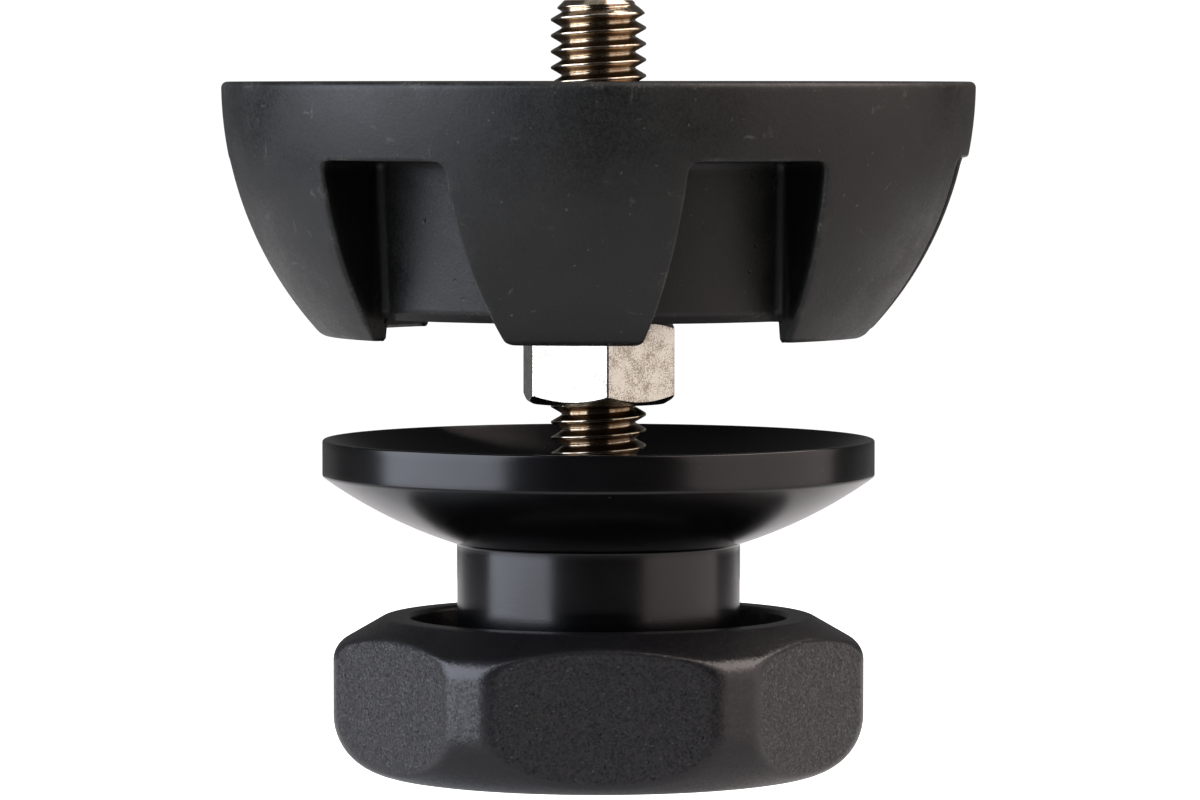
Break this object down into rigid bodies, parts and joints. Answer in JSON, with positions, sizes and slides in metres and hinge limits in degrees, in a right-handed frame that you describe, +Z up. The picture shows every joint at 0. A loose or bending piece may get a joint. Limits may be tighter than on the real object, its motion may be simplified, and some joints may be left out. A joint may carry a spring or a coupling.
{
  "type": "half ball adapter",
  "caption": "Half ball adapter with a threaded stud on top, pockets cast round its lower side, and a cupped clamp dish drawn up by a hexagonal tie-down knob.",
  "frame": {"origin": "middle of the knob's flat base, on the stud's axis, with the adapter standing on its knob and the clamp open", "axes": "+Z up along the stud, out of the ball's flat top; the middle of one lobe of the ball points to -Y"},
  "size_m": [0.0752, 0.0752, 0.0772],
  "materials": {
    "cast_black": "matt black coated casting",
    "nickel_steel": "bright nickel plate",
    "black_anodised": "satin black anodised",
    "powder_black": "fine sandy black powder coat",
    "zinc_steel": "zinc plated, turned",
    "acetal": "natural acetal, turned",
    "blackened_steel": "black oxide"
  },
  "bodies": {
    "ball": {"half_ball": "cast_black", "stud": "nickel_steel", "lock_nut": "nickel_steel"},
    "bearing": {"thrust_washer": "acetal"},
    "dish": {"clamp_dish": "black_anodised", "dish_bush": "acetal"},
    "knob": {"knob": "powder_black", "threaded_sleeve": "zinc_steel", "retaining_ring": "blackened_steel", "sleeve_screw_1": "blackened_steel", "sleeve_screw_2": "blackened_steel", "sleeve_screw_3": "blackened_steel"}
  },
  "joints": [
    {"name": "bearing_travel", "type": "slide", "parent": "ball", "child": "bearing", "axis": [0, 0, 1], "range_m": [-0.01272, 0.01018]},
    {"name": "knob_turn", "type": "hinge", "parent": "bearing", "child": "knob", "pos_m": [0, 0, 0.008], "axis": [0, 0, 1], "range_deg": [-2880, 2304]},
    {"name": "dish_swivel", "type": "hinge", "parent": "bearing", "child": "dish", "pos_m": [0, 0, 0.0122], "axis": [0, 0, 1], "continuous": true}
  ],
  "couplings": [
    {"joint": "bearing_travel", "follows": "knob_turn", "m_per_rad": 0.00025266}
  ]
}
